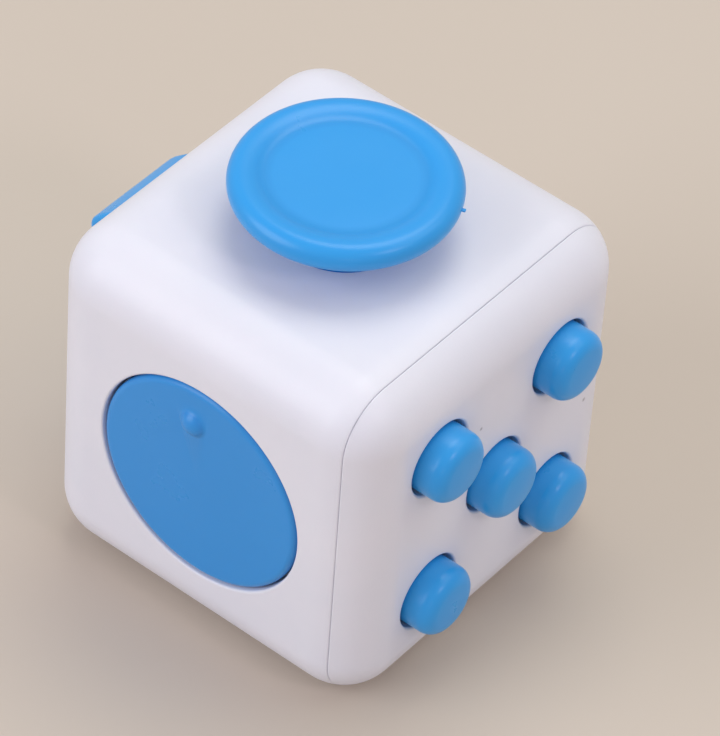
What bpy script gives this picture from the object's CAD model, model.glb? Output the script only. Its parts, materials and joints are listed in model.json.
"""The looks of a pocket fidget cube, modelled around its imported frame.

Every size below is in millimetres, in the frame of the CAD model: the origin is the centre of the
base plane, +Z is up, the buttons look along +X, the dial along -Y, the rocker along -X, the gear
wheels and the ball along +Y, and the joystick stands on top.
"""

import json
import logging
import math
from collections.abc import Callable, Iterator, Sequence
from contextlib import contextmanager
from dataclasses import dataclass, replace
from enum import Enum
from typing import ClassVar

import bmesh
import bpy
from mathutils import Matrix, Vector


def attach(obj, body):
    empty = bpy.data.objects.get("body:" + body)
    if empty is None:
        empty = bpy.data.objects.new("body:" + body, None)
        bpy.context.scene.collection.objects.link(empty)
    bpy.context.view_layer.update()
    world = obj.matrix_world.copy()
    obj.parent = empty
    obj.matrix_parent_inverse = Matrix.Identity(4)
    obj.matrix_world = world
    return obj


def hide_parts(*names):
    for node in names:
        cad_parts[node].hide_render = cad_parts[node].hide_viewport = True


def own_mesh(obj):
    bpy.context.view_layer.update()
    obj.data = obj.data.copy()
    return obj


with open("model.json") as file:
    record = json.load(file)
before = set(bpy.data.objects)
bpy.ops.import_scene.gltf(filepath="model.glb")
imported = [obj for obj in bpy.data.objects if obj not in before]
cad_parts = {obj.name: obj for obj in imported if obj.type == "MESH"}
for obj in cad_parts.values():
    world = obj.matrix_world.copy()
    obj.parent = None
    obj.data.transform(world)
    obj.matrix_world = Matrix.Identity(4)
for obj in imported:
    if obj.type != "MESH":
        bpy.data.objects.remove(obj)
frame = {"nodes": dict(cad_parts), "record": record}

log = logging.getLogger("fidget_cube")

MM = 0.001
CLOSE = 2e-6
MID = 16.5  # height of the cube's centre
NEAR = 0.01  # how far off a face or an edge a point may be and still count as on it
SHARP = 25  # an edge that turns by more degrees than this is a sharp one

Pair = tuple[float, float]
Place = tuple[float, float, float]
Colour = tuple[float, float, float]
Outline = Sequence[Pair]
Spots = tuple[tuple[str, int, int], ...]  # a name, and the steps across and up from the middle button
Test = Callable[[Vector], bool]


class Facing(Enum):
    """A side of the cube: its outward axis, and the axis that counts as its first radius."""

    BUTTONS = ((1, 0, 0), (0, 0, 1))
    DIAL = ((0, -1, 0), (0, 0, 1))
    ROCKER = ((-1, 0, 0), (0, 0, 1))
    ROLL = ((0, 1, 0), (0, 0, 1))
    TOP = ((0, 0, 1), (1, 0, 0))

    @property
    def out(self) -> Vector:
        """The outward axis."""
        return Vector(self.value[0])

    @property
    def across(self) -> Vector:
        """The axis of the first radius."""
        return Vector(self.value[1])


class Cut(Enum):
    """How one solid works on another."""

    ADD = "UNION"
    TAKE = "DIFFERENCE"


# ---- bench work: the few operations that every piece is made with ----


@contextmanager
def editing(piece: bpy.types.Object, mode: str = "VERT") -> Iterator[None]:
    """Opens one piece in edit mode with nothing selected.

    Args:
        piece: The piece to open.
        mode: The kind of element to select: VERT, EDGE or FACE.
    """
    bpy.ops.object.select_all(action="DESELECT")
    piece.select_set(True)
    bpy.context.view_layer.objects.active = piece
    bpy.ops.object.mode_set(mode="EDIT")
    bpy.ops.mesh.select_mode(type=mode)
    bpy.ops.mesh.select_all(action="DESELECT")
    try:
        yield
    finally:
        bpy.ops.object.mode_set(mode="OBJECT")


def settle(piece: bpy.types.Object) -> bpy.types.Object:
    """Moves a piece's place, turn and scale into its mesh, and returns the piece."""
    bpy.ops.object.select_all(action="DESELECT")
    piece.select_set(True)
    bpy.context.view_layer.objects.active = piece
    bpy.ops.object.transform_apply(location=True, rotation=True, scale=True)
    return piece


def draw_line(name: str, points: Sequence[Vector]) -> bpy.types.Object:
    """Starts from one corner of a small plane and draws a line on from it, point by point.

    Args:
        name: The new piece's name.
        points: The corners of the line, in metres.

    Returns:
        A piece that holds only the line.
    """
    bpy.ops.object.select_all(action="DESELECT")
    bpy.ops.mesh.primitive_plane_add(size=MM, location=points[0])
    piece = settle(bpy.context.object)
    piece.name = name
    with editing(piece):
        bpy.ops.mesh.select_all(action="SELECT")
        bpy.ops.mesh.merge(type="CENTER")
        for here, there in zip(points, points[1:]):
            bpy.ops.mesh.extrude_vertices_move(TRANSFORM_OT_translate={"value": there - here})
    return piece


def tidy(piece: bpy.types.Object) -> bpy.types.Object:
    """Merges a piece's doubled corners, turns its faces outwards, and returns the piece."""
    with editing(piece):
        bpy.ops.mesh.select_all(action="SELECT")
        bpy.ops.mesh.remove_doubles(threshold=CLOSE)
        bpy.ops.mesh.normals_make_consistent(inside=False)
    return piece


def lathe(
    name: str,
    profile: Outline,
    facing: Facing,
    centre: Place = (0, 0, 0),
    steps: int = 64,
) -> bpy.types.Object:
    """Turns a profile into a round solid.

    Args:
        name: The piece's name.
        profile: Radius and distance along the axis of each corner; a ring's ends where it starts.
        facing: The side that the axis points out of.
        centre: A point on the axis.
        steps: Segments around the axis.

    Returns:
        The closed round piece.
    """
    middle = Vector(centre)
    points = [MM * (middle + facing.across * r + facing.out * along) for r, along in profile]
    piece = draw_line(name, points)
    with editing(piece):
        bpy.ops.mesh.select_all(action="SELECT")
        bpy.ops.mesh.spin(steps=steps, angle=2 * math.pi, center=MM * middle, axis=facing.out)
    return tidy(piece)


def rod(
    name: str,
    radius: float,
    low: float,
    high: float,
    facing: Facing,
    centre: Place = (0, 0, 0),
    steps: int = 32,
) -> bpy.types.Object:
    """A plain round bar between two heights along an axis, used as a boss or as a drill."""
    return lathe(name, [(0, low), (radius, low), (radius, high), (0, high)], facing, centre, steps)


def prism(name: str, outline: Sequence[Vector], depth: Vector) -> bpy.types.Object:
    """Fills a flat outline and extrudes it.

    Args:
        name: The piece's name.
        outline: The corners in order, in millimetres, without a repeated last one.
        depth: The way and length of the extrusion, in millimetres.

    Returns:
        The closed piece.
    """
    piece = draw_line(name, [MM * p for p in [*outline, outline[0]]])
    tidy(piece)
    with editing(piece):
        bpy.ops.mesh.select_all(action="SELECT")
        bpy.ops.mesh.edge_face_add()
        bpy.ops.mesh.extrude_region_move(TRANSFORM_OT_translate={"value": MM * depth})
    return tidy(piece)


def block(name: str, low: Place, high: Place) -> bpy.types.Object:
    """A plain block between two corners in millimetres, used as a boss or as a cutter."""
    near, far = Vector(low), Vector(high)
    bpy.ops.object.select_all(action="DESELECT")
    bpy.ops.mesh.primitive_cube_add(size=MM, location=MM * (near + far) / 2, scale=far - near)
    piece = settle(bpy.context.object)
    piece.name = name
    return piece


def apply_modifier(piece: bpy.types.Object, kind: str, **settings: object) -> None:
    """Adds a modifier to a piece, sets it up and applies it.

    Args:
        piece: The piece to change.
        kind: The modifier's type.
        **settings: The modifier's own settings.
    """
    bpy.ops.object.select_all(action="DESELECT")
    piece.select_set(True)
    bpy.context.view_layer.objects.active = piece
    bpy.ops.object.modifier_add(type=kind)
    modifier = piece.modifiers[-1]
    for setting, value in settings.items():
        setattr(modifier, setting, value)
    bpy.ops.object.modifier_apply(modifier=modifier.name)


def combine(piece: bpy.types.Object, tool: bpy.types.Object, how: Cut) -> bpy.types.Object:
    """Adds a solid to a piece or takes it away, removes the tool, and returns the piece."""
    apply_modifier(piece, "BOOLEAN", operation=how.value, solver="EXACT", object=tool)
    bpy.data.objects.remove(tool)
    return piece


def join(parts: Sequence[bpy.types.Object]) -> bpy.types.Object:
    """Joins separate solids that don't touch into one tool, and returns it."""
    bpy.ops.object.select_all(action="DESELECT")
    for part in parts:
        part.select_set(True)
    bpy.context.view_layer.objects.active = parts[0]
    bpy.ops.object.join()
    return parts[0]


def ease_edges(piece: bpy.types.Object, wanted: Test, width: float, segments: int = 3) -> None:
    """Rounds the sharp edges whose two ends pass a test.

    Args:
        piece: The piece to work on.
        wanted: A test of a point in millimetres.
        width: The width of the rounding, in millimetres.
        segments: The number of facets across the rounding.
    """
    with editing(piece, "EDGE"):
        mesh = bmesh.from_edit_mesh(piece.data)
        for edge in mesh.edges:
            sharp = len(edge.link_faces) == 2 and edge.calc_face_angle(0) > math.radians(SHARP)
            if sharp and all(wanted(corner.co / MM) for corner in edge.verts):
                edge.select_set(True)
        bmesh.update_edit_mesh(piece.data)
        bpy.ops.mesh.bevel(offset=width * MM, offset_type="OFFSET", segments=segments, affect="EDGES")


def smooth(piece: bpy.types.Object, angle: float = 32) -> None:
    """Shades a piece smooth except where it turns by more than an angle in degrees."""
    bpy.ops.object.select_all(action="DESELECT")
    piece.select_set(True)
    bpy.context.view_layer.objects.active = piece
    bpy.ops.object.shade_smooth_by_angle(angle=math.radians(angle))
    apply_modifier(piece, "WEIGHTED_NORMAL", keep_sharp=True, weight=50)


def copy_moved(piece: bpy.types.Object, name: str, step: Place) -> bpy.types.Object:
    """Copies a finished piece with its own mesh, and moves the copy.

    Args:
        piece: The piece to copy.
        name: The copy's name.
        step: How far to move it, in millimetres.

    Returns:
        The copy.
    """
    bpy.ops.object.select_all(action="DESELECT")
    piece.select_set(True)
    bpy.context.view_layer.objects.active = piece
    bpy.ops.object.duplicate(linked=False)
    twin = bpy.context.object
    twin.name = name
    with editing(twin):
        bpy.ops.mesh.select_all(action="SELECT")
        bpy.ops.transform.translate(value=MM * Vector(step))
    return twin


def arc(centre: Pair, radius: float, start: float, end: float, steps: int) -> list[Pair]:
    """Points along an arc of a profile, from a start angle to an end angle in degrees."""
    angles = [math.radians(start + (end - start) * i / steps) for i in range(steps + 1)]
    return [(centre[0] + radius * math.cos(a), centre[1] + radius * math.sin(a)) for a in angles]


def round_block(name: str, side: float, radius: float, segments: int) -> bpy.types.Object:
    """A cube with rounded edges around the cube's centre; side and radius are in millimetres."""
    piece = block(name, (-side / 2, -side / 2, MID - side / 2), (side / 2, side / 2, MID + side / 2))
    apply_modifier(piece, "BEVEL", width=radius * MM, segments=segments, limit_method="NONE")
    return piece


# ---- finishes ----


class Wiring:
    """Adds nodes to one node tree and joins their sockets."""

    def __init__(self, tree: bpy.types.NodeTree) -> None:
        """Keeps the tree to work on."""
        self.tree = tree

    def add(
        self, kind: str, values: dict[int | str, object] | None = None, **settings: object
    ) -> bpy.types.Node:
        """Adds a node.

        Args:
            kind: The node's type.
            values: What each input gets, by its name or number: a plain value or another socket.
            **settings: The node's own settings.

        Returns:
            The new node.
        """
        node = self.tree.nodes.new(kind)
        for setting, value in settings.items():
            setattr(node, setting, value)
        for key, value in (values or {}).items():
            if isinstance(value, bpy.types.NodeSocket):
                self.tree.links.new(value, node.inputs[key])
            else:
                node.inputs[key].default_value = value
        return node

    def effect(self, group: bpy.types.NodeTree, values: dict[int | str, object]) -> bpy.types.NodeSocket:
        """Places a shared node group with its own values, and returns its output."""
        return self.add("ShaderNodeGroup", values, node_tree=group).outputs[0]

    def join(self, result: bpy.types.NodeSocket, target: bpy.types.NodeSocket) -> None:
        """Leads one node's output into another's input."""
        self.tree.links.new(result, target)

    def math(self, operation: str, *values: object) -> bpy.types.NodeSocket:
        """The result of a Math node on up to three values or sockets."""
        return self.add("ShaderNodeMath", dict(enumerate(values)), operation=operation).outputs[0]

    def mix(self, factor: object, first: object, second: object) -> bpy.types.NodeSocket:
        """A colour between two colours or sockets."""
        node = self.add("ShaderNodeMix", {0: factor, 6: first, 7: second}, data_type="RGBA")
        return node.outputs[2]

    def noise(
        self, vector: object, scale: object, detail: float = 2, rough: float = 0.5
    ) -> bpy.types.NodeSocket:
        """The grey value of a noise pattern."""
        values = {"Vector": vector, "Scale": scale, "Detail": detail, "Roughness": rough}
        return self.add("ShaderNodeTexNoise", values).outputs[0]

    def bump(self, height: object, depth: float) -> bpy.types.NodeSocket:
        """The normal of a surface roughened by a height, whose depth is in millimetres."""
        values = {"Height": height, "Strength": 1.0, "Distance": depth * MM}
        return self.add("ShaderNodeBump", values).outputs[0]

    def span(
        self, value: object, low: object, high: object, to_low: object = 0.0, to_high: object = 1.0
    ) -> bpy.types.NodeSocket:
        """A value carried from one range to another, held at its ends."""
        values = {0: value, 1: low, 2: high, 3: to_low, 4: to_high}
        return self.add("ShaderNodeMapRange", values).outputs[0]


class Effects:
    """The shader node groups that the finishes share, each built once."""

    SURFACE: ClassVar[dict[str, object]] = {"Vector": (0.0, 0.0, 0.0), "Colour": (1.0, 1.0, 1.0, 1.0)}
    COLOUR: ClassVar[tuple[str, str]] = ("Colour", "NodeSocketColor")
    HEIGHT: ClassVar[tuple[str, str]] = ("Height", "NodeSocketFloat")

    def __init__(self) -> None:
        """Builds every group."""
        self.grain = self.build_grain()
        self.drift = self.build_drift()
        self.handling = self.build_handling()
        self.dust = self.build_dust()
        self.fleck = self.build_fleck()
        self.ring = self.build_ring()
        self.scuffs = self.build_scuffs()

    @staticmethod
    def group(
        name: str, inputs: dict[str, object], output: tuple[str, str]
    ) -> tuple[Wiring, bpy.types.Node, bpy.types.Node]:
        """Starts a node group.

        Args:
            name: The group's name.
            inputs: Each input's name and its starting value. Three numbers make a vector, four a colour.
            output: The output's name and its socket type.

        Returns:
            The group's wiring, its input node and its output node.
        """
        tree = bpy.data.node_groups.new(name, "ShaderNodeTree")
        for label, value in inputs.items():
            many = len(value) if isinstance(value, tuple) else 1
            kind = {1: "NodeSocketFloat", 3: "NodeSocketVector", 4: "NodeSocketColor"}[many]
            tree.interface.new_socket(label, in_out="INPUT", socket_type=kind).default_value = value
        tree.interface.new_socket(output[0], in_out="OUTPUT", socket_type=output[1])
        wiring = Wiring(tree)
        return wiring, wiring.add("NodeGroupInput"), wiring.add("NodeGroupOutput")

    def build_grain(self) -> bpy.types.NodeTree:
        """The fine spark-eroded grain of a mould, with a slower flow ripple under it."""
        start = {"Vector": (0.0, 0.0, 0.0), "Grain Scale": 5200.0, "Ripple Scale": 160.0, "Ripple": 0.5}
        wiring, given, result = self.group("mould_grain", start, self.HEIGHT)
        fine = wiring.noise(given.outputs["Vector"], given.outputs["Grain Scale"], 3, 0.6)
        ripple = wiring.noise(given.outputs["Vector"], given.outputs["Ripple Scale"], 1, 0.4)
        height = wiring.math("MULTIPLY_ADD", ripple, given.outputs["Ripple"], fine)
        wiring.join(height, result.inputs[0])
        return wiring.tree

    def build_drift(self) -> bpy.types.NodeTree:
        """A slow drift of the pigment between two close colours."""
        start = {"Tint": (0.9, 0.9, 1.0, 1.0), "Scale": 90.0}
        wiring, given, result = self.group("pigment_drift", {**self.SURFACE, **start}, self.COLOUR)
        cloud = wiring.noise(given.outputs["Vector"], given.outputs["Scale"], 4, 0.55)
        share = wiring.span(cloud, 0.3, 0.7)
        wiring.join(wiring.mix(share, given.outputs["Colour"], given.outputs["Tint"]), result.inputs[0])
        return wiring.tree

    def build_handling(self) -> bpy.types.NodeTree:
        """Roughness that changes a little where fingers have polished or smeared the surface."""
        start = {"Vector": (0.0, 0.0, 0.0), "Scale": 150.0, "Polished": 0.3, "Dull": 0.4}
        wiring, given, result = self.group("handling_marks", start, ("Roughness", "NodeSocketFloat"))
        broad = wiring.noise(given.outputs["Vector"], given.outputs["Scale"], 5, 0.6)
        rough = wiring.span(broad, 0.35, 0.65, given.outputs["Polished"], given.outputs["Dull"])
        wiring.join(rough, result.inputs[0])
        return wiring.tree

    def build_dust(self) -> bpy.types.NodeTree:
        """A few tiny dark specks set in the plastic."""
        start = {"Speck": (0.1, 0.1, 0.1, 1.0), "Scale": 260.0, "Share": 0.04}
        wiring, given, result = self.group("dust_specks", {**self.SURFACE, **start}, self.COLOUR)
        pattern = {"Vector": given.outputs["Vector"], "Scale": given.outputs["Scale"]}
        cells = wiring.add("ShaderNodeTexVoronoi", pattern)
        lot = wiring.add("ShaderNodeSeparateColor", {0: cells.outputs["Color"]})
        few = wiring.math("LESS_THAN", lot.outputs[0], given.outputs["Share"])
        size = wiring.span(lot.outputs[1], 0.0, 1.0, 0.02, 0.055)
        spot = wiring.math("LESS_THAN", cells.outputs["Distance"], size)
        share = wiring.math("MULTIPLY", wiring.math("MULTIPLY", few, spot), 0.6)
        wiring.join(wiring.mix(share, given.outputs["Colour"], given.outputs["Speck"]), result.inputs[0])
        return wiring.tree

    def build_fleck(self) -> bpy.types.NodeTree:
        """One small dark fleck at a given place, softer towards its rim."""
        start = {"Fleck": (0.1, 0.1, 0.1, 1.0), "Place": (0.0, 0.0, 0.0), "Radius": 0.0002}
        wiring, given, result = self.group("single_fleck", {**self.SURFACE, **start}, self.COLOUR)
        ends = {0: given.outputs["Vector"], 1: given.outputs["Place"]}
        distance = wiring.add("ShaderNodeVectorMath", ends, operation="DISTANCE")
        share = wiring.span(distance.outputs["Value"], 0.0, given.outputs["Radius"], 0.75, 0.0)
        wiring.join(wiring.mix(share, given.outputs["Colour"], given.outputs["Fleck"]), result.inputs[0])
        return wiring.tree

    def build_ring(self) -> bpy.types.NodeTree:
        """A soft ring of grime around the Z axis, as gathers in the step inside a rim."""
        start = {"Grime": (0.1, 0.1, 0.1, 1.0), "Radius": 0.006, "Width": 0.0006}
        wiring, given, result = self.group("grime_ring", {**self.SURFACE, **start}, self.COLOUR)
        split = wiring.add("ShaderNodeSeparateXYZ", {0: given.outputs["Vector"]})
        x, y = split.outputs[0], split.outputs[1]
        squares = wiring.math("MULTIPLY_ADD", x, x, wiring.math("MULTIPLY", y, y))
        reach = wiring.math("SUBTRACT", wiring.math("SQRT", squares), given.outputs["Radius"])
        share = wiring.span(wiring.math("ABSOLUTE", reach), 0.0, given.outputs["Width"], 1.0, 0.0)
        wiring.join(wiring.mix(share, given.outputs["Colour"], given.outputs["Grime"]), result.inputs[0])
        return wiring.tree

    def build_scuffs(self) -> bpy.types.NodeTree:
        """Fine lines left by turning and wear, drawn out along one axis by the vector's own scale."""
        start = {"Vector": (0.0, 0.0, 0.0), "Scale": 900.0, "Depth": 0.5}
        wiring, given, result = self.group("tool_marks", start, self.HEIGHT)
        drawn_out = {0: given.outputs["Vector"], 1: (1.0, 0.06, 0.06)}
        stretched = wiring.add("ShaderNodeVectorMath", drawn_out, operation="MULTIPLY")
        lines = wiring.noise(stretched.outputs[0], given.outputs["Scale"], 4, 0.7)
        pits = wiring.noise(given.outputs["Vector"], given.outputs["Scale"], 2, 0.5)
        shallow = wiring.math("MULTIPLY", pits, 0.3)
        height = wiring.math("MULTIPLY_ADD", lines, given.outputs["Depth"], shallow)
        wiring.join(height, result.inputs[0])
        return wiring.tree


def opaque(colour: Colour) -> tuple[float, float, float, float]:
    """A colour with a full fourth channel."""
    return (*colour, 1.0)


def start_material(name: str) -> tuple[bpy.types.Material, Wiring, bpy.types.Node]:
    """A new material, the wiring of its nodes, and its shader."""
    material = bpy.data.materials.new(name)
    material.use_nodes = True
    return material, Wiring(material.node_tree), material.node_tree.nodes["Principled BSDF"]


@dataclass(frozen=True)
class Plastic:
    """A moulded plastic."""

    name: str
    slot: str
    colour: Colour
    tint: Colour
    speck: Colour
    polished: float
    dull: float
    grain_depth: float = 0.006
    grain_scale: float = 5200.0
    specks: float = 0.04
    soft: float = 0.0
    soft_radius: Colour = (1.0, 1.0, 1.0)
    soft_depth: float = 0.5
    shine: float = 0.4
    flecks: tuple[tuple[float, float, float, float], ...] = ()  # place and radius of each, in millimetres
    ring: tuple[float, float] | None = None  # radius and half width of a ring of grime, in millimetres
    grime: Colour = (0.0, 0.0, 0.0)

    def make(self, effects: Effects) -> bpy.types.Material:
        """Builds the material from the shared effects, and returns it."""
        material, wiring, shader = start_material(self.name)
        place = wiring.add("ShaderNodeTexCoord").outputs["Object"]
        pigment = {"Vector": place, "Colour": opaque(self.colour), "Tint": opaque(self.tint)}
        colour = wiring.effect(effects.drift, pigment)
        dust = {"Vector": place, "Colour": colour, "Speck": opaque(self.speck), "Share": self.specks}
        colour = wiring.effect(effects.dust, dust)
        for *centre, radius in self.flecks:
            where = {"Vector": place, "Place": tuple(x * MM for x in centre), "Radius": radius * MM}
            colour = wiring.effect(effects.fleck, {**where, "Colour": colour, "Fleck": opaque(self.speck)})
        if self.ring:
            where = {"Vector": place, "Radius": self.ring[0] * MM, "Width": self.ring[1] * MM}
            colour = wiring.effect(effects.ring, {**where, "Colour": colour, "Grime": opaque(self.grime)})
        wiring.join(colour, shader.inputs["Base Color"])
        touch = {"Vector": place, "Polished": self.polished, "Dull": self.dull}
        wiring.join(wiring.effect(effects.handling, touch), shader.inputs["Roughness"])
        grain = wiring.effect(effects.grain, {"Vector": place, "Grain Scale": self.grain_scale})
        wiring.join(wiring.bump(grain, self.grain_depth), shader.inputs["Normal"])
        shader.inputs["Subsurface Weight"].default_value = self.soft
        shader.inputs["Subsurface Radius"].default_value = self.soft_radius
        shader.inputs["Subsurface Scale"].default_value = self.soft_depth * MM
        shader.inputs["Specular IOR Level"].default_value = self.shine
        return material


@dataclass(frozen=True)
class Steel:
    """A bare or plated metal."""

    name: str
    slot: str
    colour: Colour
    tint: Colour
    polished: float
    dull: float
    mark_depth: float = 0.01
    mark_scale: float = 900.0
    cloud_scale: float = 400.0
    touch_scale: float = 600.0

    def make(self, effects: Effects) -> bpy.types.Material:
        """Builds the material from the shared effects, and returns it."""
        material, wiring, shader = start_material(self.name)
        place = wiring.add("ShaderNodeTexCoord").outputs["Object"]
        plating = {"Vector": place, "Colour": opaque(self.colour), "Tint": opaque(self.tint)}
        colour = wiring.effect(effects.drift, {**plating, "Scale": self.cloud_scale})
        wiring.join(colour, shader.inputs["Base Color"])
        touch = {"Vector": place, "Polished": self.polished, "Dull": self.dull}
        rough = wiring.effect(effects.handling, {**touch, "Scale": self.touch_scale})
        wiring.join(rough, shader.inputs["Roughness"])
        marks = wiring.effect(effects.scuffs, {"Vector": place, "Scale": self.mark_scale})
        wiring.join(wiring.bump(marks, self.mark_depth), shader.inputs["Normal"])
        shader.inputs["Metallic"].default_value = 1.0
        return material


WHITE_SHELL = Plastic(
    "white_satin_plastic", "white_shell",
    (0.80, 0.79, 0.86), (0.76, 0.76, 0.84), (0.16, 0.14, 0.15), 0.34, 0.44,
    specks=0.012, soft=0.12, soft_radius=(1.0, 0.8, 0.9),
    flecks=((16.5, 11.55, 16.3, 0.26), (16.5, -2.4, 23.4, 0.22)),
)
SKY_BLUE = Plastic(
    "sky_blue_plastic", "blue_plastic",
    (0.030, 0.345, 0.80), (0.028, 0.335, 0.78), (0.03, 0.10, 0.30), 0.27, 0.33,
    grain_depth=0.002, specks=0.0, soft=0.06, soft_radius=(0.3, 0.6, 1.0),
    ring=(6.35, 0.75), grime=(0.022, 0.305, 0.73),
)
DIAL_BLUE = replace(
    SKY_BLUE, name="sky_blue_plastic_dial", colour=(0.032, 0.29, 0.72), tint=(0.030, 0.28, 0.70)
)
INNER_PLASTIC = Plastic(
    "natural_acetal", "inner_plastic",
    (0.52, 0.53, 0.57), (0.48, 0.49, 0.54), (0.2, 0.2, 0.2), 0.42, 0.52, specks=0.02,
)
MILKY_RUBBER = Plastic(
    "milky_silicone", "clear_rubber",
    (0.62, 0.62, 0.62), (0.56, 0.56, 0.58), (0.3, 0.3, 0.3), 0.5, 0.62,
    grain_depth=0.01, grain_scale=3200.0, specks=0.06, soft=0.3,
)
SPRING_STEEL = Steel("spring_steel", "spring_steel", (0.36, 0.37, 0.40), (0.30, 0.30, 0.32), 0.24, 0.36)
ZINC_PLATE = Steel("bright_zinc_plate", "zinc_screw", (0.55, 0.56, 0.60), (0.47, 0.49, 0.55), 0.26, 0.40)
POLISHED_STEEL = Steel(
    "polished_steel", "polished_steel",
    (0.66, 0.67, 0.69), (0.60, 0.61, 0.64), 0.07, 0.15, mark_depth=0.0015,
)
MACHINED_STEEL = Steel(
    "turned_steel", "machined_steel",
    (0.52, 0.53, 0.56), (0.45, 0.46, 0.49), 0.24, 0.36, mark_depth=0.012,
)
FINISHES = (
    WHITE_SHELL, SKY_BLUE, DIAL_BLUE, INNER_PLASTIC, MILKY_RUBBER,
    SPRING_STEEL, ZINC_PLATE, POLISHED_STEEL, MACHINED_STEEL,
)


class Paintbox:
    """Every finish's material, and the hand-over of a finished piece to its body."""

    def __init__(self) -> None:
        """Builds each material once."""
        effects = Effects()
        self.materials = {finish.name: finish.make(effects) for finish in FINISHES}
        self.usual = {finish.slot: self.materials[finish.name] for finish in reversed(FINISHES)}

    def hand_over(
        self, piece: bpy.types.Object, node: str, body: str, finish: Plastic | Steel, angle: float = 32
    ) -> None:
        """Shades and dresses a new piece, and lets it stand for its CAD node on a body.

        Args:
            piece: The finished piece.
            node: The CAD node that it replaces.
            body: The body that it rides on.
            finish: Its finish.
            angle: The angle in degrees past which an edge stays sharp.
        """
        smooth(piece, angle)
        piece.data.materials.clear()
        piece.data.materials.append(self.materials[finish.name])
        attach(piece, body)
        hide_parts(node)
        log.info("%s: %d faces, on %s", piece.name, len(piece.data.polygons), body)

    def dress_kept_nodes(self) -> None:
        """Gives every CAD node that still shows the material of its slot."""
        for part in frame["record"]["subparts"]:
            node = frame["nodes"][part["node"]]
            if node.hide_render:
                continue
            node.data.materials.clear()
            node.data.materials.append(self.usual[part["material_slot"]])
            log.info("%s: kept, dressed in %s", node.name, part["material_slot"])


# ---- sub-assemblies ----


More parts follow.
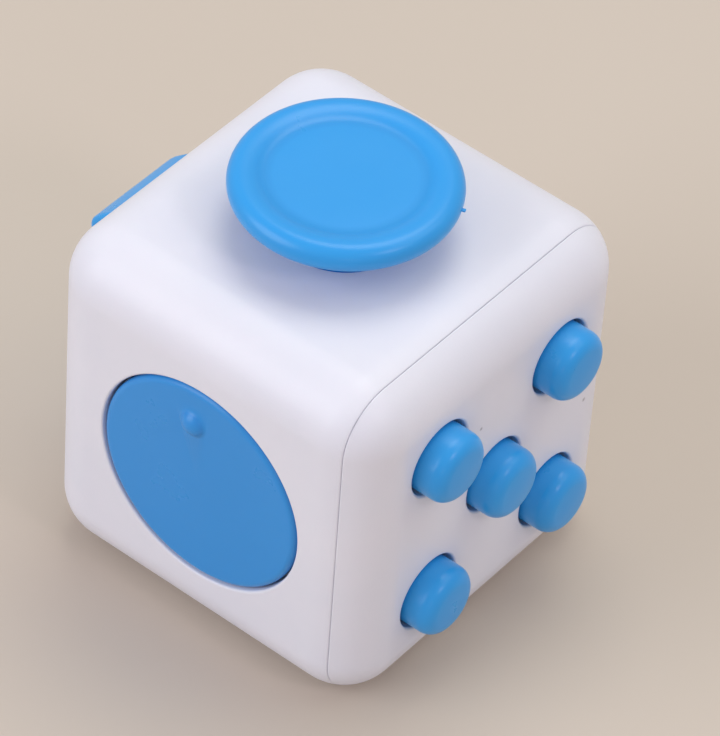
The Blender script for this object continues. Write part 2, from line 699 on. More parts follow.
@dataclass
class CubeBody:
    """The one-piece shell of five sides and the lid that carries the buttons."""

    side: float = 33.0
    edge: float = 5.0
    wall: float = 2.0
    seam: float = 13.5
    seam_gap: float = 0.015
    seam_ease: float = 0.1
    hole_ease: float = 0.22
    joystick_hole: float = 5.4
    dial_hole: float = 10.0
    button_pitch: float = 7.5
    button_hole: float = 3.35
    peg_reach: float = 12.2
    boss_reach: float = 10.3
    ear_reach: float = 9.6
    pin_x: float = -13.6
    window_sweep: float = 10.64
    window_half: float = 5.15
    axle: Pair = (12.9, 10.5)
    ball: Pair = (14.7, 22.8)
    lip: float = 3.72
    dish: float = 9.0
    dish_depth: float = 1.6
    dish_mouth: float = 9.4  # how far out the cutter of the dish reaches
    ear_wall: float = 1.6
    ear_half: float = 2.2
    axle_ear: Pair = (4.45, 5.95)
    leaf_reach: float = 9.5
    retainer_reach: float = 7.6
    screw_bore: float = 0.75
    pin_bore: float = 0.8
    peg: float = 1.2
    window_mouth: Pair = (-0.6, 6.0)  # reach of the window's ends from the pin, inwards and outwards
    joystick_bosses: ClassVar[tuple[int, ...]] = (30, 150, 270)  # degrees round the joystick

    @property
    def half(self) -> float:
        """Half of the cube's side."""
        return self.side / 2

    @property
    def inner(self) -> float:
        """Half of the cavity's side."""
        return self.half - self.wall

    def hollow(self, name: str) -> bpy.types.Object:
        """The closed hollow cube with its rounded edges, before it is cut at the seam."""
        outside = round_block(name, self.side, self.edge, 14)
        inside = round_block("cavity", 2 * self.inner, self.edge - self.wall, 6)
        return combine(outside, inside, Cut.TAKE)

    def corners(self, reach: float) -> list[Pair]:
        """The four places across and up at an equal reach from the lid's centre."""
        return [(y, z) for y in (-reach, reach) for z in (-reach, reach)]

    def joystick_screws(self) -> list[Place]:
        """The three places around the joystick where a screw holds its housing."""
        turns = [math.radians(a) for a in self.joystick_bosses]
        return [(self.ear_reach * math.cos(a), self.ear_reach * math.sin(a), 0) for a in turns]

    def shell_bosses(self) -> bpy.types.Object:
        """Everything that stands on the inside of the shell."""
        ear = self.window_half + 0.05
        parts = [rod("dial_pocket", 11.2, 13.2, 15.5, Facing.DIAL, (0, 0, MID), 64)]
        for s in (-1, 1):
            parts.append(rod("leaf_boss", 1.7, 9.0, 15.0, Facing.ROCKER, (0, self.leaf_reach * s, MID)))
            low, high = sorted((s * ear, s * (ear + self.ear_wall)))
            parts.append(block("pin_ear", (-15, low, MID - self.ear_half), (-12, high, MID + self.ear_half)))
            low, high = sorted(s * x for x in self.axle_ear)
            y, z = self.axle
            parts.append(block("axle_ear", (low, y - self.ear_half, z - 2.4), (high, 15, z + 2.4)))
            place = (self.retainer_reach * s, 0, self.ball[1])
            parts.append(rod("retainer_boss", 1.8, 9.4, 15.0, Facing.ROLL, place))
        parts.append(rod("ball_tube", 5.4, 9.4, 15.0, Facing.ROLL, (0, 0, self.ball[1]), 48))
        for y, z in self.corners(self.peg_reach):
            parts.append(rod("peg_socket", 2.0, 5.5, self.seam + 0.3, Facing.BUTTONS, (0, y, MID + z)))
        for place in self.joystick_screws():
            parts.append(rod("joystick_boss", 1.9, 29.5, 32.0, Facing.TOP, place))
        parts.append(rod("dish_pad", 7.5, 1.0, 3.4, Facing.TOP, steps=48))
        return join(parts)

    def rocker_window(self) -> bpy.types.Object:
        """The cutter of the rocker's window, whose ends follow the rocker's sweep."""
        low, high = (math.degrees(math.asin(reach / self.window_sweep)) for reach in self.window_mouth)
        upper = [(r, h) for h, r in arc((0, 0), self.window_sweep, low, high, 10)]
        outline = [*upper, *[(r, -h) for r, h in reversed(upper)]]
        points = [Vector((self.pin_x - r, -self.window_half, MID + h)) for r, h in outline]
        cutter = prism("window_cutter", points, Vector((0, 2 * self.window_half, 0)))
        ease_edges(cutter, lambda p: abs(abs(p.y) - self.window_half) < NEAR and abs(p.z - MID) > 9, 0.35, 4)
        return cutter

    def shell_cutters(self) -> bpy.types.Object:
        """Every hole, pocket and bore of the shell."""
        cutters = [rod("joystick_hole", self.joystick_hole, 30.5, 36, Facing.TOP, steps=96)]
        for place in self.joystick_screws():
            cutters.append(rod("screw_bore", self.screw_bore, 29.4, 32.2, Facing.TOP, place, 16))
        pocket = [(0, 11), (2.55, 11), (2.55, 14.7), (self.dial_hole, 14.7), (self.dial_hole, 20), (0, 20)]
        cutters.append(lathe("dial_pocket_cutter", pocket, Facing.DIAL, (0, 0, MID), 128))
        cutters.append(self.rocker_window())
        for s in (-1, 1):
            low, high = sorted((s * (self.window_half + 0.02), s * (self.window_half + 2)))
            cutters.append(rod("pin_bore", self.pin_bore, low, high, Facing.ROLL, (self.pin_x, 0, MID), 24))
            place = (0, self.leaf_reach * s, MID)
            cutters.append(rod("leaf_bore", self.screw_bore, 8.9, 13.5, Facing.ROCKER, place, 16))
            place = (self.retainer_reach * s, 0, self.ball[1])
            cutters.append(rod("retainer_bore", self.screw_bore, 9.3, 13.4, Facing.ROLL, place, 16))
        gears = [(0, -7.4), (1, -7.4), (1, -4.4), (5.45, -4.4), (5.45, 4.4), (1, 4.4), (1, 7.4), (0, 7.4)]
        cutters.append(lathe("gear_window_cutter", gears, Facing.BUTTONS, (0, *self.axle), 96))
        lip = arc((0, self.ball[0]), self.lip, 0, 50, 10)
        seat = [(0, 8.4), (4.5, 8.4), (4.5, 14.5), (self.lip, 14.5), *lip, (0, 17.55)]
        cutters.append(lathe("ball_seat_cutter", seat, Facing.ROLL, (0, 0, self.ball[1]), 96))
        for y, z in self.corners(self.peg_reach):
            cutters.append(rod("peg_bore", self.peg, 9, 14, Facing.BUTTONS, (0, y, MID + z), 24))
        ball = (self.dish**2 + self.dish_depth**2) / (2 * self.dish_depth)
        reach = math.degrees(math.asin(self.dish_mouth / ball))
        cap = arc((0, self.dish_depth - ball), ball, 90, 90 - reach, 16)
        cutters.append(lathe("dish_cutter", [*cap, (cap[-1][0], -2), (0, -2)], Facing.TOP, steps=128))
        return join(cutters)

    def ease_seam(self, piece: bpy.types.Object, x: float) -> None:
        """Rounds the outer edge of the seam, so that the two mouldings meet in a fine groove."""

        def on_outline(p: Vector) -> bool:
            """Whether a point is on the outer edge of the cut at the seam."""
            y, z = abs(p.y), abs(p.z - MID)
            reach = self.half - self.edge
            outside = max(y, z) if min(y, z) <= reach else reach + math.hypot(y - reach, z - reach)
            return abs(p.x - x) < NEAR / 2 and outside > self.inner + 0.5

        ease_edges(piece, on_outline, self.seam_ease, 3)

    def make_shell(self) -> bpy.types.Object:
        """Moulds the shell: hollow, bosses, the cut at the seam, then its openings and their eased rims."""
        shell = self.hollow("shell_moulding")
        combine(shell, self.shell_bosses(), Cut.ADD)
        x = self.seam - self.seam_gap
        combine(shell, block("front_cutter", (x, -30, -10), (40, 30, 50)), Cut.TAKE)
        combine(shell, self.shell_cutters(), Cut.TAKE)
        half, top = self.half, self.side
        rims: list[tuple[Test, float]] = [
            (lambda p: abs(p.z - top) < NEAR and math.hypot(p.x, p.y) < 6, 0.12),
            (lambda p: abs(p.y + half) < NEAR and math.hypot(p.x, p.z - MID) < 10.3, self.hole_ease),
            (lambda p: abs(p.x + half) < NEAR and abs(p.y) < 5.3 and abs(p.z - MID) < 11.2, self.hole_ease),
            (lambda p: abs(p.y - half) < NEAR and abs(p.x) < 4.6 and 6 < p.z < 15, self.hole_ease),
            (lambda p: abs(p.y - half) < NEAR and math.hypot(p.x, p.z - self.ball[1]) < 3.5, 0.1),
            (lambda p: abs(p.z) < NEAR and math.hypot(p.x, p.y) < 9.3, 0.7),
        ]
        for wanted, width in rims:
            ease_edges(shell, wanted, width)
        self.ease_seam(shell, x)
        return shell

    def make_lid(self) -> bpy.types.Object:
        """Moulds the lid: its skirt, the guide rings, screw bosses and pegs, then the button holes."""
        lid = self.hollow("button_lid_moulding")
        x = self.seam + self.seam_gap
        combine(lid, block("back_cutter", (-30, -30, -10), (x, 30, 50)), Cut.TAKE)
        places = [*self.corners(self.button_pitch), (0, 0)]
        parts = [rod("guide_ring", 4.5, 12.6, 15, Facing.BUTTONS, (0, y, MID + z), 48) for y, z in places]
        bosses = [(self.boss_reach, 0), (-self.boss_reach, 0), (0, self.boss_reach), (0, -self.boss_reach)]
        parts += [rod("lid_boss", 1.9, 11.7, 15, Facing.BUTTONS, (0, y, MID + z)) for y, z in bosses]
        pegs = self.corners(self.peg_reach)
        parts += [rod("lid_peg", self.peg, 9.5, 15, Facing.BUTTONS, (0, y, MID + z)) for y, z in pegs]
        combine(lid, join(parts), Cut.ADD)
        r = self.button_hole
        hole = [(0, 11.5), (4.05, 11.5), (4.05, 14.5), (r, 14.5), (r, 20), (0, 20)]
        cutters = [lathe("button_hole", hole, Facing.BUTTONS, (0, y, MID + z), 72) for y, z in places]
        cutters += [
            rod("boss_bore", self.screw_bore, 11.5, 15.3, Facing.BUTTONS, (0, y, MID + z), 16)
            for y, z in bosses
        ]
        combine(lid, join(cutters), Cut.TAKE)
        for y, z in places:
            ease_edges(
                lid,
                lambda p, y=y, z=z: abs(p.x - self.half) < NEAR and math.hypot(p.y - y, p.z - MID - z) < 3.5,
                0.25,
            )
        self.ease_seam(lid, x)
        return lid

    def build(self, paint: Paintbox) -> None:
        """Makes both mouldings and hands them over."""
        paint.hand_over(self.make_shell(), "main_shell", "cube_body", WHITE_SHELL)
        paint.hand_over(self.make_lid(), "button_lid", "cube_body", WHITE_SHELL)


@dataclass
class ButtonSet:
    """The five push buttons in the pattern of a five."""

    pitch: float = 7.5
    radius: float = 3.05
    edge: float = 1.3
    top: float = 19.1
    crown: float = 0.1
    flange: float = 3.9
    flange_back: float = 13.5
    nub_tip: float = 12.8
    places: ClassVar[Spots] = (
        ("upper_left", -1, 1), ("upper_right", 1, 1), ("centre", 0, 0),
        ("lower_left", -1, -1), ("lower_right", 1, -1),
    )

    def profile(self) -> list[Pair]:
        """Radius and reach of a button, from the tip of its nub to the middle of its crowned top."""
        flat = self.radius - self.edge
        shoulder = self.top - self.crown
        crown = [(flat * s, self.top - self.crown * s**2) for s in (0.8, 0.6, 0.4, 0.2, 0)]
        return [
            (0, self.nub_tip), (1.0, self.nub_tip), (1.2, self.nub_tip + 0.2), (1.2, self.flange_back),
            (self.flange - 0.1, self.flange_back), (self.flange, self.flange_back + 0.1),
            (self.flange, 14.35), (self.flange - 0.1, 14.45), (self.radius, 14.45),
            *arc((flat, shoulder - self.edge), self.edge, 0, 84, 10), *crown,
        ]

    def build(self, paint: Paintbox) -> None:
        """Turns one button and copies it to the other places."""
        corner = (0, -self.pitch, MID + self.pitch)
        first = lathe("button_cap_upper_left", self.profile(), Facing.BUTTONS, corner, 72)
        for name, across, up in self.places:
            step = (0, (across + 1) * self.pitch, (up - 1) * self.pitch)
            piece = first if name == "upper_left" else copy_moved(first, f"button_cap_{name}", step)
            paint.hand_over(piece, f"button_{name}", f"push_{name}", SKY_BLUE)


@dataclass
class ReturnDomes:
    """The steel domes that click and the rubber cones that don't, which push the buttons back out."""

    pitch: float = 7.5
    base: float = 11.4
    rise: float = 1.35
    dome_foot: float = 2.6
    sheet: float = 0.15
    pressed: float = 0.11  # what is left of the height under a pressed button
    domes: ClassVar[Spots] = (("upper_left", -1, 1), ("centre", 0, 0), ("lower_right", 1, -1))
    cones: ClassVar[Spots] = (("upper_right", 1, 1), ("lower_left", -1, -1))

    def dome_profile(self) -> list[Pair]:
        """Radius and reach of a dome, from the outside of its crest to the inside."""
        ball = (self.dome_foot**2 + self.rise**2) / (2 * self.rise)
        middle = self.base + self.rise - ball
        inner = ball - self.sheet
        outer_foot, inner_foot = (math.degrees(math.asin((self.base - middle) / r)) for r in (ball, inner))
        return [*arc((0, middle), ball, 90, outer_foot, 12), *arc((0, middle), inner, inner_foot, 90, 12)]

    def cone_profile(self) -> list[Pair]:
        """Radius and reach of a cone with its flat foot, from the outside of its crest to the inside."""
        crest, foot = self.base + self.rise, self.base + 0.4
        return [
            (0, crest), (1.2, crest), (1.31, crest - 0.04), (2.16, foot + 0.04), (2.26, foot), (2.62, foot),
            (2.7, foot - 0.08), (2.7, self.base), (1.8, self.base), (1.06, crest - 0.58), (0.94, crest - 0.5),
            (0, crest - 0.5),
        ]

    def build(self, paint: Paintbox) -> None:
        """Makes each dome and cone, and lets it flatten as its button goes in."""
        kinds = (
            ("snap_dome", self.domes, self.dome_profile(), SPRING_STEEL),
            ("rubber_cone", self.cones, self.cone_profile(), MILKY_RUBBER),
        )
        for kind, places, profile, finish in kinds:
            for name, across, up in places:
                centre = (0, across * self.pitch, MID + up * self.pitch)
                piece = lathe(f"{kind}_spring_{name}", profile, Facing.BUTTONS, centre, 40)
                paint.hand_over(piece, f"{kind}_{name}", "cube_body", finish)
                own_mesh(piece)


@dataclass
class Joystick:
    """The thumb disc, its stem and skirt, and the spring under it."""

    radius: float = 9.28
    rim: float = 1.2
    under: float = 36.1
    floor_z: float = 38.1
    boss: float = 3.4
    pivot: float = 28.0
    skirt: float = 6.0
    skirt_wall: float = 0.8
    skirt_flat: float = 33.6
    flash_angle: float = 24.0  # where the mould left a nick of flash on the rim, from +X

    def make_cap(self) -> bpy.types.Object:
        """The disc with its rolled rim, the shallow step inside it and the socket for the stem."""
        rim_middle = (self.radius - self.rim, self.under + self.rim)
        profile = [
            (0, 37.2), (2.4, 37.2), (2.4, 35.3), (3.3, 35.3), (self.boss, 35.4), (self.boss, 36.0),
            (3.5, self.under),
            *arc(rim_middle, self.rim, -90, 90, 24),
            (7.8, 38.488), (7.55, 38.455), (7.32, 38.4), (7.12, 38.33), (6.94, 38.25), (6.78, 38.18),
            (6.62, 38.13), (6.45, 38.1), (6.25, 38.085), (6.0, 38.082), (5.7, 38.088), (5.3, 38.096),
            (4.8, self.floor_z), (3, self.floor_z), (0, self.floor_z),
        ]
        disc = lathe("joystick_disc", profile, Facing.TOP, steps=128)
        flash = block("mould_flash", (self.radius - 0.4, -0.14, 37.22), (self.radius + 0.3, 0.14, 37.36))
        ease_edges(flash, lambda p: p.x > self.radius, 0.05, 2)
        with editing(flash):
            bpy.ops.mesh.select_all(action="SELECT")
            turn = math.radians(-self.flash_angle)
            bpy.ops.transform.rotate(value=turn, orient_axis="Z", center_override=(0, 0, 0))
        return combine(disc, flash, Cut.ADD)

    def make_stem(self) -> bpy.types.Object:
        """The stepped stem with its wide foot and the spigot that centres the spring."""
        profile = [
            (0, 23.6), (0.9, 23.6), (1.1, 23.8), (1.1, 24.4), (2.4, 24.4), (2.5, 24.5), (2.5, 25.1),
            (2.4, 25.2), (1.5, 25.2), (1.5, 33.6), (2.4, 33.6), (2.4, 37.1), (2.3, 37.2), (0, 37.2),
        ]
        stem = lathe("joystick_post", profile, Facing.TOP, steps=48)
        return combine(stem, rod("pin_bore", 0.5, -3, 3, Facing.ROLL, (0, 0, self.pivot), 24), Cut.TAKE)

    def make_skirt(self) -> bpy.types.Object:
        """The thin dome that closes the joystick's hole while the stem tilts."""
        bore, rise = 1.5, self.skirt_flat - self.pivot
        inside = self.skirt - self.skirt_wall
        top = math.degrees(math.asin(rise / self.skirt))
        inner_top = math.degrees(math.acos(bore / inside))
        profile = [
            *arc((0, self.pivot), self.skirt, 0, top, 20), (bore, self.skirt_flat),
            *arc((0, self.pivot), inside, inner_top, 0, 18), (self.skirt, self.pivot),
        ]
        return lathe("joystick_dome", profile, Facing.TOP, steps=96)

    def build(self, paint: Paintbox) -> None:
        """Makes the joystick's own pieces and the spring that returns it."""
        paint.hand_over(self.make_cap(), "joystick_cap", "joystick", SKY_BLUE)
        paint.hand_over(self.make_stem(), "joystick_stem", "joystick", SKY_BLUE)
        paint.hand_over(self.make_skirt(), "joystick_skirt", "joystick", SKY_BLUE)
        spring = Coil("joystick_return_spring", 1.65, 0.25, 4, 20.8, 24.4).make()
        paint.hand_over(spring, "joystick_spring", "cube_body", SPRING_STEEL)


@dataclass
class Coil:
    """A compression spring wound along +Z from one height to another."""

    name: str
    mean: float
    wire: float
    turns: int
    low: float
    high: float

    def make(self) -> bpy.types.Object:
        """Sweeps the wire's round section along the coil, and closes its ends."""
        bpy.ops.object.select_all(action="DESELECT")
        bpy.ops.mesh.primitive_circle_add(
            vertices=10, radius=self.wire * MM, location=(self.mean * MM, 0, 0), rotation=(math.pi / 2, 0, 0)
        )
        piece = settle(bpy.context.object)
        piece.name = self.name
        rise = self.high - self.low - 2 * self.wire
        apply_modifier(
            piece, "SCREW", angle=2 * math.pi * self.turns, screw_offset=rise * MM, iterations=1,
            steps=24 * self.turns, render_steps=24 * self.turns, use_smooth_shade=True,
        )
        with editing(piece):
            bpy.ops.mesh.select_all(action="SELECT")
            bpy.ops.mesh.fill_holes(sides=12)
            bpy.ops.mesh.select_all(action="SELECT")
            bpy.ops.transform.translate(value=(0, 0, (self.low + self.wire) * MM))
        return tidy(piece)


@dataclass
class Dial:
    """The spinning dial that lies flush in its face."""

    radius: float = 9.8
    back: float = 14.9
    face: float = 16.5
    edge: float = 0.55
    nub: Pair = (-0.8, 6.2)
    nub_radius: float = 1.2
    nub_proud: float = 0.7

    def build(self, paint: Paintbox) -> None:
        """Turns the dial with its hub, and adds the finger nub."""
        profile = [
            (0, 15.7), (0.9, 15.7), (0.9, 13.1), (2.4, 13.1), (2.5, 13.2), (2.5, self.back),
            (self.radius - 0.15, self.back), (self.radius, self.back + 0.15),
            *arc((self.radius - self.edge, self.face - self.edge), self.edge, 0, 90, 8),
            (9.0, self.face), (8.0, self.face), (0, self.face),
        ]
        dial = lathe("dial_disc", profile, Facing.DIAL, (0, 0, MID), 160)
        ball = (self.nub_radius**2 + self.nub_proud**2) / (2 * self.nub_proud)
        low = math.degrees(math.asin((ball - self.nub_proud + 0.1) / ball))
        dome = arc((0, self.face + self.nub_proud - ball), ball, low, 90, 10)
        foot = self.face - 0.3
        nub = [(0, foot), (1.42, foot), (1.42, self.face), (1.3, self.face + 0.03), *dome]
        place = (self.nub[0], 0, MID + self.nub[1])
        combine(dial, lathe("nub", nub, Facing.DIAL, place, 40), Cut.ADD)
        paint.hand_over(dial, "spin_dial", "dial", DIAL_BLUE)


@dataclass
class Rocker:
    """The flip rocker, drawn across its pin in reach and height, then leant to its rest."""

    pin_x: float = -13.6
    sweep: float = 10.44
    middle: float = 3.9
    inside: float = 0.3
    corner_angle: float = 52.431  # from the middle of the face to a corner, about the pin
    width: float = 10.0
    tilt: float = 16.0
    hub: float = 1.8
    pin: float = 0.8
    nose: float = 0.5
    nose_reach: float = 4.213
    corner_ease: float = 0.9
    side_ease: float = 0.45

    @property
    def corner(self) -> tuple[float, float]:
        """Reach and height of the outer corner, half-way through the flip."""
        a = math.radians(self.corner_angle)
        return self.sweep * math.cos(a), self.sweep * math.sin(a)

    def at_rest(self, reach: float, height: float, y: float) -> Vector:
        """A point of the section, leant to the rest position and put across the pin."""
        a = math.radians(-self.tilt)
        out = reach * math.cos(a) - height * math.sin(a)
        up = height * math.cos(a) + reach * math.sin(a)
        return Vector((self.pin_x - out, y, MID + up))

    def across(self, name: str, outline: Outline, width: float, y: float = 0) -> bpy.types.Object:
        """A prism of a section across the pin, centred on y."""
        points = [self.at_rest(reach, height, y - width / 2) for reach, height in outline]
        return prism(name, points, Vector((0, width, 0)))

    def make_rocker(self) -> bpy.types.Object:
        """The hollow-backed rocker with its soft V face, hub and nose."""
        end = math.degrees(math.asin(self.inside / self.sweep))
        start = math.degrees(math.asin(self.corner[0] / self.sweep))
        upper = [(r, h) for h, r in arc((0, 0), self.sweep, end, start, 4)]
        face = [(self.middle + 0.01, 0.9), (self.middle, 0), (self.middle + 0.01, -0.9)]
        outline = [*upper, *face, *[(r, -h) for r, h in reversed(upper)]]
        piece = self.across("flip_rocker_moulding", outline, self.width)
        tips = [self.at_rest(self.corner[0], s * self.corner[1], 0) for s in (-1, 1)]

        def near(p: Vector, spots: Sequence[Vector]) -> bool:
            """Whether a point is on the edge along one of the tips."""
            return any(math.hypot(p.x - t.x, p.z - t.z) < 0.05 for t in spots)

        ease_edges(piece, lambda p: near(p, tips), self.corner_ease, 6)
        axis = self.at_rest(1, 0, 0) - self.at_rest(0, 0, 0)
        pivot = self.at_rest(0, 0, 0)

        def outer(p: Vector) -> bool:
            """Whether a point is on a side's outline, on the part that can be touched."""
            flat = Vector((p.x, 0, p.z))
            proud = (flat - pivot).dot(axis) > self.inside + 0.4
            return proud and abs(abs(p.y) - self.width / 2) < NEAR

        ease_edges(piece, outer, self.side_ease, 4)
        hub = self.across("hub", arc((0, 0), self.hub, 0, 348.75, 31), self.width)
        combine(piece, hub, Cut.ADD)
        nose = [*arc((-self.nose_reach, 0), self.nose, 90, 270, 10), (-1.0, -self.nose), (-1.0, self.nose)]
        combine(piece, self.across("nose", nose, 3), Cut.ADD)
        hollows = [
            self.across("hollow", [(-1, 3 * s), (2, 3 * s), (2, 8.8 * s), (-1, 8.8 * s)], self.width - 2.6)
            for s in (-1, 1)
        ]
        combine(piece, join(hollows), Cut.TAKE)
        bore = self.across("bore", arc((0, 0), self.pin + 0.05, 0, 345, 23), self.width + 4)
        return combine(piece, bore, Cut.TAKE)

    def make_pin(self) -> bpy.types.Object:
        """The rocker's pin with its two chamfered ends."""
        end = self.width / 2 + 1.8
        profile = [
            (0, -end), (self.pin - 0.15, -end), (self.pin, 0.15 - end),
            (self.pin, end - 0.15), (self.pin - 0.15, end), (0, end),
        ]
        return lathe("rocker_cross_pin", profile, Facing.ROLL, (self.pin_x, 0, MID), 32)

    def build(self, paint: Paintbox) -> None:
        """Makes the rocker and its pin."""
        paint.hand_over(self.make_rocker(), "rocker", "flip_rocker", SKY_BLUE)
        paint.hand_over(self.make_pin(), "rocker_pin", "cube_body", POLISHED_STEEL)


@dataclass
class GearTrain:
    """Three loose gear wheels on one axle."""

    axle_y: float = 12.9
    axle_z: float = 10.5
    outer: float = 5.2
    root: float = 4.3
    teeth: int = 14
    width: float = 2.4
    hub: float = 2.2
    hub_width: float = 2.8
    bore: float = 1.05
    pitch: float = 2.9
    axle_half: float = 5.95

    def make_wheel(self, name: str) -> bpy.types.Object:
        """The right-hand wheel: rounded teeth, a boss on each side and a bore."""
        step = 360 / self.teeth
        shape = (
            (self.root, 0.08), (self.root + 0.12, 0.13), (self.outer - 0.18, 0.24), (self.outer, 0.31),
            (self.outer, 0.49), (self.outer - 0.18, 0.56), (self.root + 0.12, 0.67), (self.root, 0.72),
        )
        points = []
        for tooth in range(self.teeth):
            for radius, share in shape:
                a = math.radians(step * (tooth + share))
                y, z = self.axle_y + radius * math.sin(a), self.axle_z - radius * math.cos(a)
                points.append(Vector((-self.width / 2, y, z)))
        wheel = prism(name, points, Vector((self.width, 0, 0)))
        root = self.root - 0.05
        ease_edges(wheel, lambda p: math.hypot(p.y - self.axle_y, p.z - self.axle_z) > root, 0.1, 2)
        h = self.hub_width / 2
        boss = [
            (0, -h), (self.hub - 0.15, -h), (self.hub, 0.15 - h),
            (self.hub, h - 0.15), (self.hub - 0.15, h), (0, h),
        ]
        centre = (0, self.axle_y, self.axle_z)
        combine(wheel, lathe("boss", boss, Facing.BUTTONS, centre, 48), Cut.ADD)
        groove = [(3.0, h), (3.0, 1.05), (3.7, 1.05), (3.7, h), (3.0, h)]
        rings = [
            lathe("face_groove", [(r, s * x) for r, x in groove], Facing.BUTTONS, centre, 48) for s in (-1, 1)
        ]
        combine(wheel, join(rings), Cut.TAKE)
        bore = rod("bore", self.bore, -h - 1, h + 1, Facing.BUTTONS, centre, 32)
        return combine(wheel, bore, Cut.TAKE)

    def build(self, paint: Paintbox) -> None:
        """Makes the three wheels and their axle."""
        first = self.make_wheel("gear_middle_wheel")
        wheels = {
            "left": copy_moved(first, "gear_left_wheel", (self.pitch, 0, 0)),
            "middle": first,
            "right": copy_moved(first, "gear_right_wheel", (-self.pitch, 0, 0)),
        }
        for name, wheel in wheels.items():
            paint.hand_over(wheel, f"gear_wheel_{name}", f"gear_{name}", MACHINED_STEEL)
        end = self.axle_half
        profile = [(0, -end), (0.8, -end), (1, 0.2 - end), (1, end - 0.2), (0.8, end), (0, end)]
        axle = lathe("gear_axle_pin", profile, Facing.BUTTONS, (0, self.axle_y, self.axle_z), 40)
        paint.hand_over(axle, "gear_axle", "cube_body", POLISHED_STEEL)


@dataclass
class Roller:
    """The sprung roller ball in its cup."""

    y: float = 14.7
    z: float = 22.8
    radius: float = 3.594
    play: float = 0.056
    cup_back: float = 10.2
    cup_front: float = 13.8
    spring_back: float = 8.4
    pressed: float = 0.583  # what is left of the spring's length under a pressed ball

    def build(self, paint: Paintbox) -> None:
        """Makes the ball, the cup under it and the cup's spring."""
        place = (0, 0, self.z)
        ball = lathe("steel_roller_ball", arc((0, self.y), self.radius, -90, 90, 40), Facing.ROLL, place, 80)
        paint.hand_over(ball, "roller_ball", "ball", POLISHED_STEEL, 60)
        seat = self.radius + self.play
        back, front = self.cup_back, self.cup_front
        edge = math.degrees(math.asin((front - self.y) / seat))
        profile = [
            (0, back), (4.25, back), (4.4, 10.35), (4.4, front - 0.15), (4.25, front),
            *reversed(arc((0, self.y), seat, -90, edge, 16)),
        ]
        cup = lathe("ball_cup_moulding", profile, Facing.ROLL, place, 64)
        paint.hand_over(cup, "ball_cup", "ball_carrier", INNER_PLASTIC)
        spring = Coil("ball_return_spring", 1.8, 0.2, 3, self.spring_back, back).make()
        with editing(spring):
            bpy.ops.mesh.select_all(action="SELECT")
            bpy.ops.transform.rotate(value=math.pi / 2, orient_axis="X", center_override=(0, 0, 0))
            bpy.ops.transform.translate(value=(0, 0, self.z * MM))
        paint.hand_over(spring, "ball_spring", "cube_body", SPRING_STEEL)
        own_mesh(spring)


# ---- studio ----


@dataclass
class Lamp:
    """A soft rectangular lamp that looks at the cube."""

    name: str
    place: Place
    size: float
    power: float
    colour: Colour

    def hang(self) -> None:
        """Hangs the lamp and points it at the cube's centre."""
        bpy.ops.object.light_add(type="AREA", location=self.place)
        lamp = bpy.context.object
        lamp.name = self.name
        lamp.data.shape = "DISK"
        lamp.data.size = self.size
        lamp.data.energy = self.power
        lamp.data.color = self.colour
        towards = Vector((0, 0, MID * MM)) - lamp.location
        lamp.rotation_euler = towards.to_track_quat("-Z", "Y").to_euler()


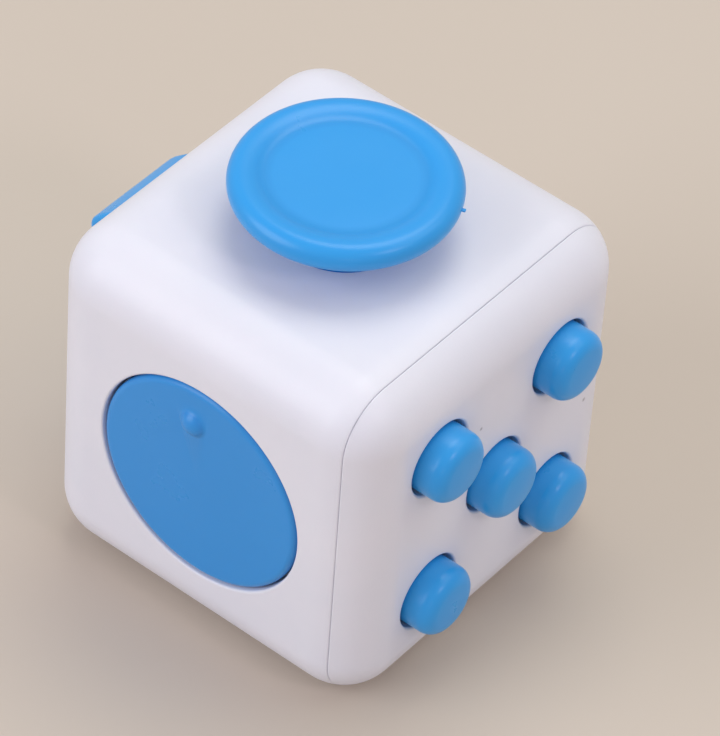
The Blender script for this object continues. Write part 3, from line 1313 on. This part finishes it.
@dataclass
class Studio:
    """The floor, the lamps and the camera."""

    azimuth: float = 36.84
    elevation: float = 44.78
    roll: float = 4.01
    distance: float = 429.94
    film: float = 36
    lens: float = 263.289
    shift: Pair = (0.03716, 0.00856)

    def make_camera(self) -> None:
        """Puts the camera at the viewing angle, with its roll and small shift."""
        a, e, r = (math.radians(x) for x in (self.azimuth, self.elevation, self.roll))
        back = Vector((math.sin(a) * math.cos(e), -math.cos(a) * math.cos(e), math.sin(e)))
        level = Vector((math.cos(a), math.sin(a), 0))
        upright = back.cross(level)
        right = level * math.cos(r) + upright * math.sin(r)
        up = upright * math.cos(r) - level * math.sin(r)
        place = MM * (Vector((0, 0, MID)) + back * self.distance)
        turn = Matrix((right, up, back)).transposed().to_4x4()
        bpy.ops.object.camera_add()
        camera = bpy.context.object
        camera.name = "viewpoint"
        camera.matrix_world = Matrix.Translation(place) @ turn
        camera.data.sensor_width = self.film
        camera.data.lens = self.lens
        camera.data.shift_x, camera.data.shift_y = self.shift
        camera.data.clip_start, camera.data.clip_end = 0.01, 20
        bpy.context.scene.camera = camera

    def make_floor(self) -> None:
        """Lays a plain pale floor with a faint paper grain."""
        bpy.ops.mesh.primitive_plane_add(size=6, location=(0, 0, 0))
        floor = bpy.context.object
        floor.name = "studio_floor"
        material, wiring, shader = start_material("pale_paper")
        place = wiring.add("ShaderNodeTexCoord").outputs["Object"]
        cloud = wiring.noise(place, 9.0, 3, 0.5)
        colour = wiring.mix(cloud, (0.62, 0.54, 0.46, 1), (0.59, 0.51, 0.43, 1))
        wiring.join(colour, shader.inputs["Base Color"])
        shader.inputs["Roughness"].default_value = 0.75
        shader.inputs["Specular IOR Level"].default_value = 0.2
        floor.data.materials.append(material)

    def make_world(self) -> None:
        """Fills the room with a pale, slightly cool light."""
        world = bpy.data.worlds.new("pale_room")
        bpy.context.scene.world = world
        world.use_nodes = True
        background = world.node_tree.nodes["Background"]
        background.inputs["Color"].default_value = (0.98, 0.955, 1.0, 1)
        background.inputs["Strength"].default_value = 0.56
        bpy.context.scene.view_settings.view_transform = "Standard"

    def build(self) -> None:
        """Sets up the whole studio."""
        self.make_camera()
        self.make_floor()
        self.make_world()
        for lamp in (
            Lamp("key_lamp", (-0.10, 0.27, 0.75), 0.5, 1.85, (0.99, 1.0, 0.92)),
            Lamp("side_lamp", (-0.35, -0.6, 0.36), 0.6, 2.6, (0.90, 0.93, 1.0)),
            Lamp("fill_lamp", (0.57, -0.04, 0.52), 0.16, 0.55, (1.0, 0.89, 1.0)),
            Lamp("front_lamp", (0.55, -0.58, 0.2), 0.1, 0.12, (1.0, 0.92, 1.0)),
            Lamp("rear_lamp", (0.35, 0.35, 0.65), 0.5, 0.75, (0.87, 1.0, 0.96)),
        ):
            lamp.hang()


def main() -> None:
    """Builds the studio and every sub-assembly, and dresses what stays."""
    logging.basicConfig(level=logging.INFO, format="%(message)s")
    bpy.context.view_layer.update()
    Studio().build()
    paint = Paintbox()
    CubeBody().build(paint)
    ButtonSet().build(paint)
    ReturnDomes().build(paint)
    Joystick().build(paint)
    Dial().build(paint)
    Rocker().build(paint)
    GearTrain().build(paint)
    Roller().build(paint)
    paint.dress_kept_nodes()


if __name__ == "__main__":
    main()
